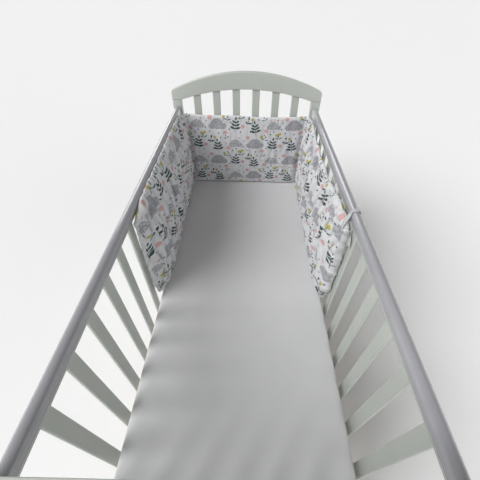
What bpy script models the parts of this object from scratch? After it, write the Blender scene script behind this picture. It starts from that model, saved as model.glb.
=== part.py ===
"""A padded crib bumper, tied into a plain painted crib with its mattress.

Metres, +Z up, +Y towards the head of the crib, +X to the right seen from its foot.
The origin is on the floor under the middle of the crib.
"""
from math import cos, pi, radians, sin, sqrt

import bmesh
import bpy
from mathutils import Vector

# --- Driving sizes -----------------------------------------------------------------------------
GAP = 0.0003                      # clearance between touching pieces

INNER_LENGTH = 1.210              # between the two end panels
INNER_WIDTH = 0.610               # between the posts of one end panel
POST_WIDTH = 0.043                # across the crib
PANEL_THICKNESS = 0.022           # end panels, along the crib
ARCH_TOP_MIDDLE = 0.999           # height of the arched rail's upper edge in the middle
ARCH_TOP_DROP = 0.742             # metres down for each square metre out from the middle
ARCH_UNDER_MIDDLE = 0.919         # height of its lower edge in the middle
ARCH_UNDER_DROP = 0.581
ARCH_CORNER_RADIUS = 0.014
END_SLATS = 6
END_SLAT_WIDTH = 0.0345
END_SLAT_THICKNESS = 0.012
LOW_RAIL_BOTTOM = 0.200           # the lower rails of the ends and the sides
LOW_RAIL_TOP = 0.252

SIDE_X = 0.326                    # middle of the side rails, out from the crib's middle
TOP_RAIL_WIDTH = 0.027
TOP_RAIL_TOP = 0.8352
TOP_RAIL_HEIGHT = 0.0332
SIDE_SLATS = 14
SIDE_SLAT_X = 0.3225              # middle of the side slats
SIDE_SLAT_WIDTH = 0.0305
SIDE_SLAT_THICKNESS = 0.008
SIDE_SLAT_PITCH = 0.0838
FIRST_SLAT_FROM_HEAD = 0.0413     # middle of the first side slat to the head panel
SIDE_LOW_RAIL_WIDTH = 0.022

MATTRESS_TOP = 0.395
MATTRESS_SIZE = (0.600, 1.200, 0.0997)
MATTRESS_ROUND = 0.012
BASE_BOARD_THICKNESS = 0.015
BASE_BATTEN = (0.022, 0.036)      # width and depth of the two battens under the board
BASE_WIDTH = 0.596

PAD_FOOT = MATTRESS_TOP + 0.0006  # the bumper stands on the mattress
PAD_FOOT_SETTLES = 0.0010         # its sides settle over the mattress's rounded edge
PAD_FOOT_ROUND = 0.010            # height over which its foot rounds in to the seam
PAD_SIDE_X = 0.2975               # its middle layer at the sides
PAD_HEAD_Y = 0.5890               # its middle layer at the head
PAD_NEAR_Y = -0.108               # its free ends
PAD_CORNER_RADIUS = 0.016
PAD_FULL = 0.036                  # thickness where it is full
PAD_FOLD_THICKNESS = 0.009        # at the stitched corner folds
PAD_FOLD_REACH = 0.045            # how far from a corner fold the filling comes back to full
PAD_END_ROUND = 0.007             # length over which the boxed free ends round in to their seam
PAD_END_THINS = (0.52, 0.12)      # share of its thickness lost towards the left and the right end
PAD_END_OUT = (0.0120, 0.0062)    # how far these ends press out towards the slats, below the rail
PAD_END_TOP_OUT = (0.0055, 0.0)   # and at their top edge
PAD_FOOT_BACK = 0.022             # the free ends' feet stand this much nearer the head

TAPE_WIDTH = 0.0072
TAPE_THICKNESS = 0.0014
KNOT_THICKNESS = 0.0046
KNOT_WIDENS = 0.15                # share that a knot adds to the tape's width

# --- The bumper's own shape: its top edge, and the main creases of its inner face ----------------
# along: metres along the foot from the middle of the head, to the left negative
# height: of the top edge; out: how far the top edge leans out from the middle layer;
# belly: how far the middle of its height bulges into the crib; thickness: just under the top edge
TOP_EDGE = [
    # along, height, out, belly, thickness
    (-1.00, 0.8130, 0.0010, 0.004, 0.023),
    (-0.90, 0.8165, 0.0025, 0.009, 0.020),
    (-0.72, 0.8150, 0.0035, 0.012, 0.018),
    (-0.55, 0.8170, 0.0035, 0.010, 0.018),
    (-0.40, 0.8140, 0.0030, 0.007, 0.018),
    (-0.30, 0.8050, 0.0010, 0.000, 0.016),
    (-0.20, 0.7985, -0.0010, 0.003, 0.018),
    (-0.05, 0.7975, -0.0010, 0.004, 0.018),
    (0.06, 0.7930, -0.0030, 0.004, 0.019),
    (0.18, 0.7925, -0.0030, 0.003, 0.018),
    (0.30, 0.7990, 0.0010, 0.000, 0.016),
    (0.36, 0.8110, 0.0030, 0.004, 0.017),
    (0.43, 0.8120, 0.0010, 0.008, 0.017),
    (0.49, 0.7960, -0.0010, 0.010, 0.018),
    (0.56, 0.8010, -0.0020, 0.011, 0.016),
    (0.61, 0.7930, -0.0040, 0.012, 0.017),
    (0.68, 0.8000, -0.0030, 0.012, 0.016),
    (0.73, 0.7880, -0.0030, 0.011, 0.018),
    (0.81, 0.8010, 0.0005, 0.010, 0.018),
    (0.89, 0.8150, 0.0015, 0.008, 0.021),
    (1.00, 0.8130, 0.0005, 0.004, 0.024),
]

# along and height of a crease's foot, along and height of its top, half width, depth
CREASES = [
    # foot_along, foot, top_along, top, half_width, depth
    (-0.93, 0.42, -0.90, 0.66, 0.016, 0.0045),
    (-0.80, 0.40, -0.845, 0.70, 0.020, 0.0070),
    (-0.69, 0.40, -0.715, 0.76, 0.018, 0.0055),
    (-0.60, 0.44, -0.575, 0.80, 0.016, 0.0050),
    (-0.47, 0.40, -0.505, 0.72, 0.020, 0.0065),
    (-0.38, 0.45, -0.395, 0.78, 0.014, 0.0045),
    (-0.17, 0.62, -0.14, 0.79, 0.018, 0.0030),
    (0.09, 0.60, 0.06, 0.78, 0.020, 0.0035),
    (0.22, 0.42, 0.235, 0.70, 0.016, 0.0035),
    (0.38, 0.42, 0.395, 0.76, 0.015, 0.0050),
    (0.47, 0.40, 0.485, 0.78, 0.018, 0.0065),
    (0.58, 0.44, 0.565, 0.74, 0.016, 0.0045),
    (0.66, 0.40, 0.615, 0.79, 0.020, 0.0065),
    (0.76, 0.42, 0.735, 0.78, 0.018, 0.0060),
    (0.87, 0.40, 0.845, 0.70, 0.018, 0.0050),
    (0.95, 0.46, 0.93, 0.74, 0.014, 0.0040),
]

# The tape at the right goes from the bumper's inner face over the top rail, between two slats, and
# hangs with its free end inside them. face_x, face_y and face_z are the way its flat side looks;
# knot is 1 where it is drawn into its knot.
TIE_RIGHT = [
    # x, y, z, face_x, face_y, face_z, knot
    (0.2856, -0.0960, 0.7850, -1.0, 0.0, 0.0, 0),
    (0.2860, -0.0930, 0.7960, -1.0, 0.0, 0.1, 0),
    (0.2892, -0.0880, 0.8100, -0.8, -0.1, 0.6, 0),
    (0.2975, -0.0805, 0.8195, -0.5, -0.2, 0.8, 0),
    (0.3062, -0.0720, 0.8268, -0.6, -0.1, 0.8, 0.3),
    (0.3122, -0.0655, 0.8312, -0.7, 0.0, 0.6, 1),
    (0.3185, -0.0638, 0.8362, -0.4, 0.0, 0.9, 0.3),
    (0.3270, -0.0625, 0.8371, 0.1, 0.0, 1.0, 0),
    (0.3350, -0.0612, 0.8344, 0.6, 0.0, 0.8, 0),
    (0.3408, -0.0600, 0.8265, 1.0, 0.0, 0.3, 0),
    (0.3415, -0.0590, 0.8150, 1.0, 0.0, 0.0, 0),
    (0.3400, -0.0582, 0.8025, 0.8, 0.0, -0.6, 0),
    (0.3330, -0.0576, 0.8000, 0.0, 0.0, -1.0, 0),
    (0.3230, -0.0580, 0.7990, 0.0, 0.1, -1.0, 0),
    (0.3160, -0.0630, 0.7955, -0.6, 0.1, -0.8, 0),
    (0.3140, -0.0740, 0.7890, -1.0, 0.0, -0.1, 0),
    (0.3136, -0.0880, 0.7810, -1.0, 0.0, 0.0, 0),
    (0.3130, -0.1010, 0.7710, -1.0, 0.0, 0.0, 0),
    (0.3112, -0.1115, 0.7580, -1.0, -0.2, 0.0, 0),
    (0.3098, -0.1165, 0.7430, -1.0, -0.3, 0.0, 0),
]
# The tape at the left goes from the bumper's outer face round a slat, with its free end behind the
# bumper.
TIE_LEFT = [
    # x, y, z, face_x, face_y, face_z, knot
    (-0.3113, -0.0880, 0.7750, -1.0, 0.0, 0.0, 0),
    (-0.3116, -0.0770, 0.7745, -1.0, 0.0, 0.0, 0),
    (-0.3132, -0.0660, 0.7740, -0.9, 0.4, 0.0, 0.3),
    (-0.3142, -0.0560, 0.7735, -0.9, 0.4, 0.0, 1),
    (-0.3160, -0.0450, 0.7730, -1.0, 0.2, 0.0, 0.2),
    (-0.3168, -0.0330, 0.7725, -1.0, 0.0, 0.0, 0),
    (-0.3168, -0.0130, 0.7720, -1.0, -0.2, 0.0, 0),
    (-0.3183, -0.0062, 0.7717, -0.6, -0.8, 0.0, 0),
    (-0.3225, -0.0055, 0.7713, 0.0, -1.0, 0.0, 0),
    (-0.3267, -0.0062, 0.7710, 0.6, -0.8, 0.0, 0),
    (-0.3283, -0.0130, 0.7705, 1.0, -0.2, 0.0, 0),
    (-0.3282, -0.0230, 0.7697, 1.0, 0.0, 0.0, 0),
    (-0.3283, -0.0330, 0.7688, 1.0, 0.2, 0.0, 0),
    (-0.3267, -0.0398, 0.7680, 0.6, 0.8, 0.0, 0),
    (-0.3225, -0.0406, 0.7660, 0.0, 1.0, 0.0, 0),
    (-0.3187, -0.0425, 0.7625, -0.3, 1.0, 0.0, 0),
    (-0.3170, -0.0470, 0.7560, -0.5, 0.8, 0.0, 0),
    (-0.3164, -0.0505, 0.7450, -0.5, 0.8, 0.0, 0),
    (-0.3162, -0.0520, 0.7310, -0.5, 0.8, 0.0, 0),
]


# --- Helpers -----------------------------------------------------------------------------------
def clear_scene():
    for old in list(bpy.data.objects):
        bpy.data.objects.remove(old, do_unlink=True)


def make_material(name, colour, roughness):
    material = bpy.data.materials.new(name)
    material.use_nodes = True
    shader = material.node_tree.nodes["Principled BSDF"]
    shader.inputs["Base Color"].default_value = (*colour, 1.0)
    shader.inputs["Roughness"].default_value = roughness
    shader.inputs["Metallic"].default_value = 0.0
    return material


def add_object(name, mesh_builder, material, location=(0, 0, 0), smooth_angle=35):
    """Turns a finished bmesh into a named object."""
    bmesh.ops.recalc_face_normals(mesh_builder, faces=mesh_builder.faces)
    mesh = bpy.data.meshes.new(name)
    mesh_builder.to_mesh(mesh)
    mesh_builder.free()
    mesh.materials.append(material)
    mesh.shade_smooth()
    mesh.set_sharp_from_angle(angle=radians(smooth_angle))
    piece = bpy.data.objects.new(name, mesh)
    piece.location = location
    bpy.context.scene.collection.objects.link(piece)
    return piece


def prism(outline, axis, start, end):
    """A closed outline of (a, b) points, extruded along an axis. It lies in the plane of the two
    other axes, in X, Y, Z order."""
    def place(a, b, along):
        return {"X": (along, a, b), "Y": (a, along, b), "Z": (a, b, along)}[axis]

    builder = bmesh.new()
    first = [builder.verts.new(place(a, b, start)) for a, b in outline]
    last = [builder.verts.new(place(a, b, end)) for a, b in outline]
    builder.faces.new(first)
    builder.faces.new(last[::-1])
    for i in range(len(outline)):
        j = (i + 1) % len(outline)
        builder.faces.new((first[i], last[i], last[j], first[j]))
    return builder


def round_corner(corner, before, after, radius, steps=3):
    """Points of an arc that rounds the corner between its two neighbours."""
    corner, before, after = Vector(corner), Vector(before), Vector(after)
    to_before = (before - corner).normalized()
    to_after = (after - corner).normalized()
    half_angle = to_before.angle(to_after) / 2
    bisector = (to_before + to_after).normalized()
    centre = corner + bisector * (radius / sin(half_angle))
    tangent = radius / (sin(half_angle) / cos(half_angle))
    arm = corner + to_before * tangent - centre
    end = corner + to_after * tangent - centre
    sweep = arm.angle_signed(end)
    points = []
    for k in range(steps + 1):
        angle = -sweep * k / steps
        turned = Vector((arm.x * cos(angle) - arm.y * sin(angle), arm.x * sin(angle) + arm.y * cos(angle)))
        points.append(tuple(centre + turned))
    return points


def rounded_outline(corners, radii, steps=3):
    """A polygon with rounded corners; a radius of 0 leaves a corner sharp."""
    outline = []
    for i, (corner, radius) in enumerate(zip(corners, radii)):
        if radius == 0:
            outline.append(tuple(corner))
            continue
        outline += round_corner(corner, corners[i - 1], corners[(i + 1) % len(corners)], radius, steps)
    return outline


def rectangle(centre_a, centre_b, size_a, size_b, radius, steps=2):
    a, b = size_a / 2, size_b / 2
    corners = [
        (centre_a - a, centre_b - b),
        (centre_a + a, centre_b - b),
        (centre_a + a, centre_b + b),
        (centre_a - a, centre_b + b),
    ]
    return rounded_outline(corners, [radius] * 4, steps)


def smooth_step(t):
    t = min(max(t, 0.0), 1.0)
    return t * t * (3 - 2 * t)


def read_table(rows, along):
    """The columns after the first, blended smoothly between the rows on either side."""
    if along <= rows[0][0]:
        return rows[0][1:]
    for low, high in zip(rows, rows[1:]):
        if along <= high[0]:
            share = smooth_step((along - low[0]) / (high[0] - low[0]))
            return tuple(a + (b - a) * share for a, b in zip(low[1:], high[1:]))
    return rows[-1][1:]


# --- The crib ----------------------------------------------------------------------------------
def arch_under(x):
    return ARCH_UNDER_MIDDLE - ARCH_UNDER_DROP * x * x


def arch_top(x):
    return ARCH_TOP_MIDDLE - ARCH_TOP_DROP * x * x


def curve_points(height_at, first_x, last_x, count):
    return [(x, height_at(x)) for x in
            (first_x + (last_x - first_x) * k / count for k in range(count + 1))]


def build_end(name, inner_y, outward, paint):
    """One end panel: posts, arched top rail, bottom rail and slats."""
    inner_x = INNER_WIDTH / 2
    outer_x = inner_x + POST_WIDTH
    outer_y = inner_y + outward * PANEL_THICKNESS
    middle_y = (inner_y + outer_y) / 2
    post_top = arch_under(inner_x)

    for side, sign in (("left", -1), ("right", 1)):
        outline = rectangle(sign * (inner_x + POST_WIDTH / 2), middle_y, POST_WIDTH, PANEL_THICKNESS, 0.004)
        add_object(f"{name}_post_{side}", prism(outline, "Z", 0.0, post_top - GAP), paint)

    arch_steps = 24
    top = curve_points(arch_top, -outer_x, outer_x, arch_steps)
    left = round_corner(top[0], (-outer_x, post_top), top[3], ARCH_CORNER_RADIUS, 4)
    right = [(-x, z) for x, z in left[::-1]]
    kept = [point for point in top if left[-1][0] < point[0] < right[0][0]]
    under = curve_points(arch_under, inner_x, -inner_x, arch_steps)
    outline = [(-outer_x, post_top), *left, *kept, *right, (outer_x, post_top), *under]
    arch = add_object(f"{name}_arch", prism(outline, "Y", inner_y, outer_y), paint)
    bevel = arch.modifiers.new("soft_edges", "BEVEL")
    bevel.width = 0.003
    bevel.segments = 2
    bevel.limit_method = "ANGLE"
    bevel.angle_limit = radians(50)

    rail = rectangle(middle_y, (LOW_RAIL_BOTTOM + LOW_RAIL_TOP) / 2, PANEL_THICKNESS - 0.002,
                     LOW_RAIL_TOP - LOW_RAIL_BOTTOM, 0.004)
    reach = inner_x - GAP
    add_object(f"{name}_bottom_rail", prism(rail, "X", -reach, reach), paint)

    space = (INNER_WIDTH - END_SLATS * END_SLAT_WIDTH) / (END_SLATS + 1)
    for i in range(END_SLATS):
        left_x = -inner_x + space + i * (END_SLAT_WIDTH + space)
        right_x = left_x + END_SLAT_WIDTH
        outline = [
            (left_x, LOW_RAIL_TOP + GAP),
            (right_x, LOW_RAIL_TOP + GAP),
            (right_x, arch_under(right_x) - 2 * GAP),
            (left_x, arch_under(left_x) - 2 * GAP),
        ]
        half = END_SLAT_THICKNESS / 2
        slat = add_object(f"{name}_slat_{i + 1}", prism(outline, "Y", middle_y - half, middle_y + half), paint)
        bevel = slat.modifiers.new("soft_edges", "BEVEL")
        bevel.width = 0.0025
        bevel.segments = 1


def build_side(name, sign, paint, rail_paint):
    """One long side: top rail, bottom rail and slats between them."""
    reach = INNER_LENGTH / 2 - GAP
    middle_x = sign * SIDE_X
    half_width = TOP_RAIL_WIDTH / 2
    rail_bottom = TOP_RAIL_TOP - TOP_RAIL_HEIGHT
    corners = [
        (middle_x - half_width, rail_bottom),
        (middle_x + half_width, rail_bottom),
        (middle_x + half_width, TOP_RAIL_TOP),
        (middle_x - half_width, TOP_RAIL_TOP),
    ]
    round_top = half_width - 0.0002
    outline = rounded_outline(corners, [0.003, 0.003, round_top, round_top], 5)
    add_object(f"{name}_top_rail", prism(outline, "Y", -reach, reach), rail_paint)

    low = rectangle(middle_x, (LOW_RAIL_BOTTOM + LOW_RAIL_TOP) / 2, SIDE_LOW_RAIL_WIDTH,
                    LOW_RAIL_TOP - LOW_RAIL_BOTTOM, 0.004)
    add_object(f"{name}_bottom_rail", prism(low, "Y", -reach, reach), paint)

    for i in range(SIDE_SLATS):
        y = INNER_LENGTH / 2 - FIRST_SLAT_FROM_HEAD - i * SIDE_SLAT_PITCH
        outline = rectangle(sign * SIDE_SLAT_X, y, SIDE_SLAT_THICKNESS, SIDE_SLAT_WIDTH, 0.0025)
        slat = prism(outline, "Z", LOW_RAIL_TOP + GAP, rail_bottom - GAP)
        add_object(f"{name}_slat_{i + 1:02d}", slat, paint)


def build_base(board):
    """A board with a batten under each long edge, drawn as one section and run the whole length."""
    top = MATTRESS_TOP - MATTRESS_SIZE[2] - GAP
    under = top - BASE_BOARD_THICKNESS
    low = under - BASE_BATTEN[1]
    half = BASE_WIDTH / 2
    inner = half - BASE_BATTEN[0]
    outline = [(-half, top), (-half, low), (-inner, low), (-inner, under),
               (inner, under), (inner, low), (half, low), (half, top)]
    reach = INNER_LENGTH / 2 - GAP
    add_object("mattress_base", prism(outline, "Y", -reach, reach), board)


def build_mattress(ticking):
    builder = bmesh.new()
    bmesh.ops.create_cube(builder, size=1.0)
    bmesh.ops.scale(builder, vec=MATTRESS_SIZE, verts=builder.verts)
    upright = [edge for edge in builder.edges
               if abs(edge.verts[0].co.z - edge.verts[1].co.z) > MATTRESS_SIZE[2] / 2]
    bmesh.ops.bevel(builder, geom=upright, offset=0.03, segments=4, profile=0.5, affect="EDGES")
    rim = [edge for edge in builder.edges
           if abs(edge.verts[0].co.z - edge.verts[1].co.z) < MATTRESS_SIZE[2] / 2]
    bmesh.ops.bevel(builder, geom=rim, offset=MATTRESS_ROUND, segments=3, profile=0.5, affect="EDGES")
    add_object("mattress", builder, ticking, (0, 0, MATTRESS_TOP - MATTRESS_SIZE[2] / 2), 60)


# --- The bumper --------------------------------------------------------------------------------
PAD_ARC_START = PAD_SIDE_X - PAD_CORNER_RADIUS
PAD_ARC_LENGTH = PAD_CORNER_RADIUS * pi / 2
PAD_SIDE_START = PAD_ARC_START + PAD_ARC_LENGTH
PAD_HALF_LENGTH = PAD_SIDE_START + PAD_HEAD_Y - PAD_CORNER_RADIUS - PAD_NEAR_Y


def pad_line(along):
    """Plan of the middle layer: the point, and the direction that faces into the crib."""
    sign = -1 if along < 0 else 1
    run = abs(along)
    if run <= PAD_ARC_START:
        return Vector((along, PAD_HEAD_Y, 0)), Vector((0, -1, 0))
    centre = Vector((PAD_SIDE_X - PAD_CORNER_RADIUS, PAD_HEAD_Y - PAD_CORNER_RADIUS, 0))
    turn = min((run - PAD_ARC_START) / PAD_CORNER_RADIUS, pi / 2)
    outward = Vector((sin(turn), cos(turn), 0))
    point = centre + outward * PAD_CORNER_RADIUS
    point.y -= max(run - PAD_SIDE_START, 0)
    return Vector((sign * point.x, point.y, 0)), Vector((-sign * outward.x, -outward.y, 0))


def crease_depth(along, height):
    """How far the creases press into the inner face here."""
    depth = 0.0
    for foot_along, foot, top_along, top, half_width, deep in CREASES:
        rise = (height - foot) / (top - foot)
        if not -0.15 < rise < 1.15:
            continue
        middle = foot_along + (top_along - foot_along) * rise
        off = (along - middle) / half_width
        fade = smooth_step((rise + 0.15) / 0.35) * smooth_step((1.15 - rise) / 0.35)
        depth += deep * fade * (1 / (1 + off ** 4) - 0.35 / (1 + (abs(off) - 1.9) ** 4))
    return depth


def rim_round(distance, radius):
    """0 on the seam at the rim, 1 where the pad has its own thickness."""
    if distance >= radius:
        return 1.0
    return sqrt(max(0.0, 1 - (1 - distance / radius) ** 2))


def pad_point(along, rise, face):
    """A point of the bumper. rise is 0 at its foot and 1 at its top edge; face is 1 on the inner face,
    -1 on the outer face, and both meet in the seam at the rim."""
    run = abs(along)
    sign = -1 if along < 0 else 1
    top, out, belly, top_thickness = read_table(TOP_EDGE, along)
    foot = PAD_FOOT - PAD_FOOT_SETTLES * smooth_step((run - PAD_SIDE_START) / 0.03)
    height = foot + (top - foot) * rise
    to_end = PAD_HALF_LENGTH - run
    back = PAD_FOOT_BACK * (1 - smooth_step(rise / 0.22)) * smooth_step(1 - to_end / 0.16)
    centre, inward = pad_line(sign * (run - back))
    end_corner = 0.010 * smooth_step((rise - 0.93) / 0.07) * smooth_step(1 - to_end / 0.05)
    height -= end_corner

    full = PAD_FULL + (top_thickness - PAD_FULL) * smooth_step((rise - 0.62) / 0.36)
    corner_distance = abs(run - (PAD_ARC_START + PAD_ARC_LENGTH / 2))
    fold = smooth_step(corner_distance / PAD_FOLD_REACH)
    thickness = PAD_FOLD_THICKNESS + (full - PAD_FOLD_THICKNESS) * fold
    end = 0 if along < 0 else 1
    near_end = smooth_step(1 - to_end / 0.06)
    thickness *= 1 - PAD_END_THINS[end] * near_end
    rim = rim_round((1 - rise) * (top - foot), thickness * 0.62)
    rim *= rim_round(rise * (top - foot), PAD_FOOT_ROUND)
    rim *= rim_round(to_end, PAD_END_ROUND)
    half = thickness / 2 * rim
    offset = half * face + belly * sin(pi * min(rise / 0.9, 1.0)) * fold
    end_out = PAD_END_OUT[end] + (PAD_END_TOP_OUT[end] - PAD_END_OUT[end]) * smooth_step((rise - 0.6) / 0.25)
    offset -= out * smooth_step((rise - 0.5) / 0.5) + end_out * near_end
    if face > 0:
        offset -= crease_depth(along, height) * rim * fold
    return centre + inward * offset + Vector((0, 0, height))


def spaced(length, rim, rim_steps, pitch):
    """Stations from 0 to length, close together near both ends."""
    near = [rim * (1 - cos(pi / 2 * k / rim_steps)) for k in range(rim_steps)]
    inner = length - 2 * rim
    count = max(2, round(inner / pitch))
    middle = [rim + inner * k / count for k in range(count + 1)]
    return near + middle + [length - value for value in near[::-1]]


def pad_stations():
    """Where its sections stand along the foot, closer at the free ends and at the corner folds."""
    side_length = PAD_HALF_LENGTH - PAD_SIDE_START
    side = [value - PAD_HALF_LENGTH for value in spaced(side_length, 0.012, 4, 0.026)]
    arc = [-PAD_SIDE_START + PAD_ARC_LENGTH * k / 4 for k in range(1, 4)]
    head = [value - PAD_ARC_START for value in spaced(2 * PAD_ARC_START, 0.022, 3, 0.045)]
    left = side + arc
    return left + head + [-value for value in left[::-1]]


def build_bumper(cloth):
    stations = pad_stations()
    rises = [value / 0.41 for value in spaced(0.41, 0.014, 3, 0.034)]
    builder = bmesh.new()
    faces = {}
    for face in (1, -1):
        for i, along in enumerate(stations):
            for j, rise in enumerate(rises):
                on_rim = i in (0, len(stations) - 1) or j in (0, len(rises) - 1)
                if face < 0 and on_rim:
                    faces[face, i, j] = faces[1, i, j]
                    continue
                faces[face, i, j] = builder.verts.new(pad_point(along, rise, face))
    for face in (1, -1):
        for i in range(len(stations) - 1):
            for j in range(len(rises) - 1):
                builder.faces.new((faces[face, i, j], faces[face, i + 1, j],
                                   faces[face, i + 1, j + 1], faces[face, i, j + 1]))
    add_object("bumper", builder, cloth, smooth_angle=180)


# --- The tapes that tie it ---------------------------------------------------------------------
def smooth_route(rows, steps=3):
    """A smooth curve through the hand-set rows of a table; every column is blended alike."""
    route = []
    for i in range(len(rows) - 1):
        before = rows[max(i - 1, 0)]
        here, there = rows[i], rows[i + 1]
        after = rows[min(i + 2, len(rows) - 1)]
        for k in range(steps):
            t = k / steps
            route.append(tuple(
                0.5 * (2 * q + (r - p) * t + (2 * p - 5 * q + 4 * r - s) * t * t
                       + (3 * q - p - 3 * r + s) * t ** 3)
                for p, q, r, s in zip(before, here, there, after)))
    route.append(rows[-1])
    return route


def build_tape(name, rows, cloth):
    """A flat tape swept along its route, thicker where it is drawn into a knot."""
    route = smooth_route(rows)
    points = [Vector(row[:3]) for row in route]
    builder = bmesh.new()
    rings = []
    for i, row in enumerate(route):
        ahead = (points[min(i + 1, len(points) - 1)] - points[max(i - 1, 0)]).normalized()
        across = ahead.cross(Vector(row[3:6])).normalized()
        through = across.cross(ahead)
        wide = across * TAPE_WIDTH / 2 * (1 + row[6] * KNOT_WIDENS)
        thin = through * (TAPE_THICKNESS + (KNOT_THICKNESS - TAPE_THICKNESS) * row[6]) / 2
        rings.append([builder.verts.new(points[i] + a * wide + b * thin)
                      for a, b in ((1, 1), (-1, 1), (-1, -1), (1, -1))])
    builder.faces.new(rings[0])
    builder.faces.new(rings[-1][::-1])
    for first, second in zip(rings, rings[1:]):
        for k in range(4):
            builder.faces.new((first[k], second[k], second[(k + 1) % 4], first[(k + 1) % 4]))
    add_object(name, builder, cloth, smooth_angle=50)


# --- Build -------------------------------------------------------------------------------------
clear_scene()
white_paint = make_material("white_paint", (0.78, 0.80, 0.77), 0.35)
rail_gloss = make_material("rail_gloss", (0.80, 0.80, 0.82), 0.2)
base_board = make_material("base_board", (0.74, 0.68, 0.58), 0.6)
ticking_white = make_material("ticking_white", (0.84, 0.84, 0.83), 0.8)
printed_cotton = make_material("printed_cotton", (0.82, 0.81, 0.83), 0.85)
tape_white = make_material("tape_white", (0.84, 0.84, 0.84), 0.8)

build_end("head", INNER_LENGTH / 2, 1, white_paint)
build_end("foot", -INNER_LENGTH / 2, -1, white_paint)
build_side("left", -1, white_paint, rail_gloss)
build_side("right", 1, white_paint, rail_gloss)
build_base(base_board)
build_mattress(ticking_white)
build_bumper(printed_cotton)
build_tape("tie_right", TIE_RIGHT, tape_white)
build_tape("tie_left", TIE_LEFT, tape_white)
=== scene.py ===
# %% [markdown]
# # A padded crib bumper, tied into its crib
# A bumper is a long padded cloth that stands on the mattress and lines the head half of a crib. This lesson
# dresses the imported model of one: it paints the crib, sews the bumper from printed cotton, puts a cover on
# the mattress and winds the tapes. Metres are used all through, +Z is up and +Y points to the crib's head.
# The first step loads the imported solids. They are the measured frame, and nothing here moves them.

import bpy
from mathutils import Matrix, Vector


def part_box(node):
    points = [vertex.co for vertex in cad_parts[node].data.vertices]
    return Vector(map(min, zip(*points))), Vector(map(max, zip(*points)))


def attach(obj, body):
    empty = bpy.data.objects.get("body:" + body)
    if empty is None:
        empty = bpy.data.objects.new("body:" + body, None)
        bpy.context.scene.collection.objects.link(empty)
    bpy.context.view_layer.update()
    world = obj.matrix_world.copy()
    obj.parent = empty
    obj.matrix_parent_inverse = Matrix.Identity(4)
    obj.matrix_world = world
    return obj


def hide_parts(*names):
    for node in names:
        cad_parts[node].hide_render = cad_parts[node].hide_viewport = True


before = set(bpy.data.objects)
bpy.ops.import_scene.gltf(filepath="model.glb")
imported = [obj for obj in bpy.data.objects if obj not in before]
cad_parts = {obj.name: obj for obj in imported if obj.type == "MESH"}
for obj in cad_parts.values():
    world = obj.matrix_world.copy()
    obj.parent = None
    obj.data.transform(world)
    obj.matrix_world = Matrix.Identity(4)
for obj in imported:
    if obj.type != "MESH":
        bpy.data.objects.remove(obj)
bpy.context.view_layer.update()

# %% [markdown]
# The camera stands at the foot of the crib and looks down into it. Its place was worked out from straight
# edges of the crib whose sizes are known, so it is written here as plain numbers. The lens is wide, which is
# why the two rails run together so fast. A small upward shift frames the crib as the photograph does.

# %% Camera
from math import cos, pi, radians, sin
import random

import bmesh
import bpy
import numpy as np
from mathutils import Vector

scene = bpy.context.scene


def place(thing):
    """Puts a new object into the scene and hands it back."""
    scene.collection.objects.link(thing)
    return thing


view = bpy.data.cameras.new("photo_view")
view.sensor_width = 36
view.lens = 20.993
view.shift_y = -0.14167
camera = place(bpy.data.objects.new("photo_view", view))
camera.location = (0.01251, -0.63228, 1.41221)
camera.rotation_euler = [radians(turn) for turn in (51.8915, -0.1134, 1.9324)]
scene.camera = camera
scene.view_settings.view_transform = "Standard"
print("camera at", camera.location[:])

# %% [markdown]
# Cloth and paint are made of the same few shader nodes, so a finish gets short words for them: add any node,
# do a sum, mix two colours, make noise, ribs or a bump. A number that is the same all over a finish is set
# straight on the shader's own socket.

# %% Helpers for finishes


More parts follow.
